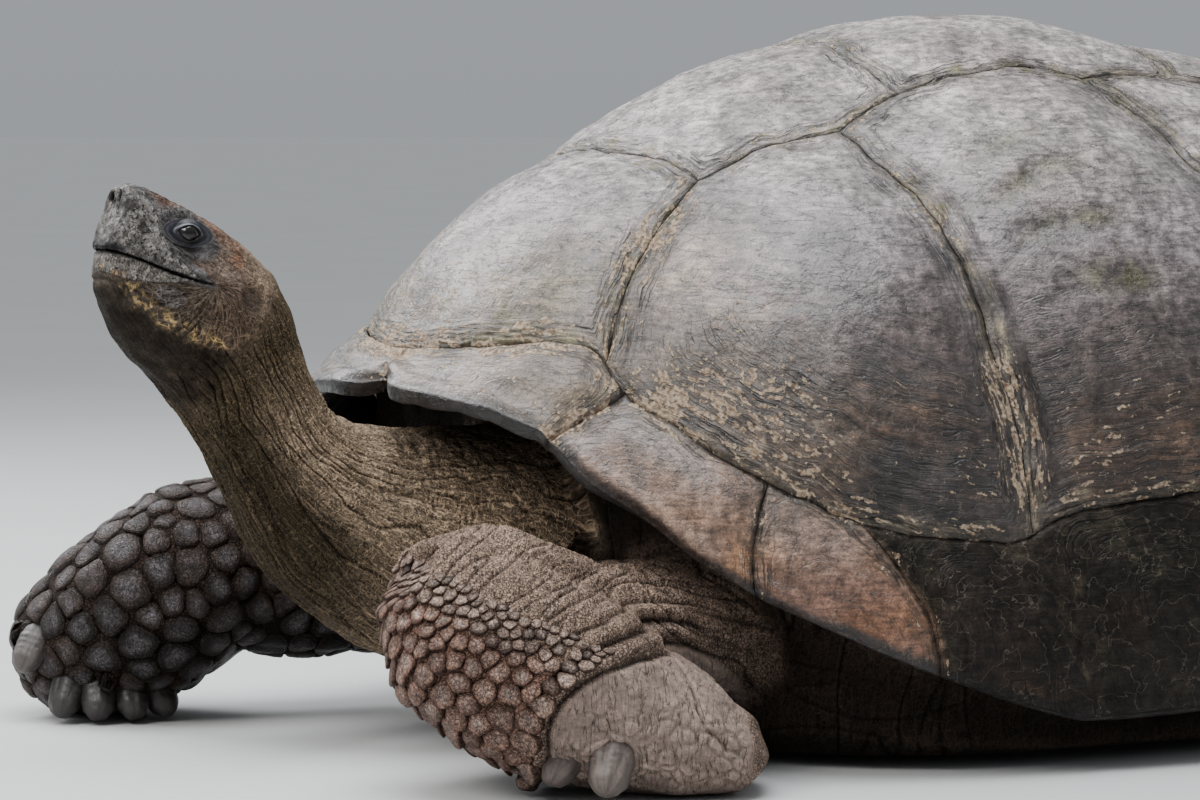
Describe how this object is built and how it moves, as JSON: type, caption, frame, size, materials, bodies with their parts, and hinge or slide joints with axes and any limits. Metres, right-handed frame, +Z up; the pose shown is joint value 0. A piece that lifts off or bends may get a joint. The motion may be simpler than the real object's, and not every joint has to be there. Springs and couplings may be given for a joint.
{
  "type": "giant tortoise model",
  "caption": "Life-size giant tortoise lying on its plastron, forelegs spread, neck raised, with a domed shell of separate plates.",
  "frame": {"origin": "on the floor, on the plastron's flat resting face under the middle of the shell", "axes": "+Y towards the tail, so the head points to -Y; +X towards the animal's left side; +Z up"},
  "size_m": [0.8496, 1.3484, 0.602],
  "materials": {
    "skin": "dull wrinkled hide, taupe to pinkish brown",
    "shell_horn": "worn grey-brown horn plates with growth ridges and a faint sheen",
    "plastron_horn": "worn tan-brown horn",
    "beak_horn": "slate grey horn with dark specks",
    "claw_horn": "blunt grey-brown horn",
    "eye": "wet, glossy, nearly black"
  },
  "bodies": {
    "root": {"beak_lower": "beak_horn", "beak_upper": "beak_horn", "claw_fore_left_1": "claw_horn", "claw_fore_left_2": "claw_horn", "claw_fore_left_3": "claw_horn", "claw_fore_left_4": "claw_horn", "claw_fore_left_5": "claw_horn", "claw_fore_right_1": "claw_horn", "claw_fore_right_2": "claw_horn", "claw_fore_right_3": "claw_horn", "claw_fore_right_4": "claw_horn", "claw_fore_right_5": "claw_horn", "claw_hind_left_1": "claw_horn", "claw_hind_left_2": "claw_horn", "claw_hind_left_3": "claw_horn", "claw_hind_left_4": "claw_horn", "claw_hind_right_1": "claw_horn", "claw_hind_right_2": "claw_horn", "claw_hind_right_3": "claw_horn", "claw_hind_right_4": "claw_horn", "costal_1_left": "shell_horn", "costal_1_right": "shell_horn", "costal_2_left": "shell_horn", "costal_2_right": "shell_horn", "costal_3_left": "shell_horn", "costal_3_right": "shell_horn", "costal_4_left": "shell_horn", "costal_4_right": "shell_horn", "eye_left": "eye", "eye_right": "eye", "foreleg_left": "skin", "foreleg_right": "skin", "head": "skin", "hind_leg_left": "skin", "hind_leg_right": "skin", "marginal_10_11_left": "shell_horn", "marginal_10_11_right": "shell_horn", "marginal_1_left": "shell_horn", "marginal_1_right": "shell_horn", "marginal_2_left": "shell_horn", "marginal_2_right": "shell_horn", "marginal_3_left": "shell_horn", "marginal_3_right": "shell_horn", "marginal_4_5_left": "shell_horn", "marginal_4_5_right": "shell_horn", "marginal_6_7_left": "shell_horn", "marginal_6_7_right": "shell_horn", "marginal_8_9_left": "shell_horn", "marginal_8_9_right": "shell_horn", "neck": "skin", "plastron": "plastron_horn", "supracaudal": "shell_horn", "tail": "skin", "trunk": "skin", "vertebral_1": "shell_horn", "vertebral_2": "shell_horn", "vertebral_3": "shell_horn", "vertebral_4": "shell_horn", "vertebral_5": "shell_horn"}
  },
  "joints": []
}
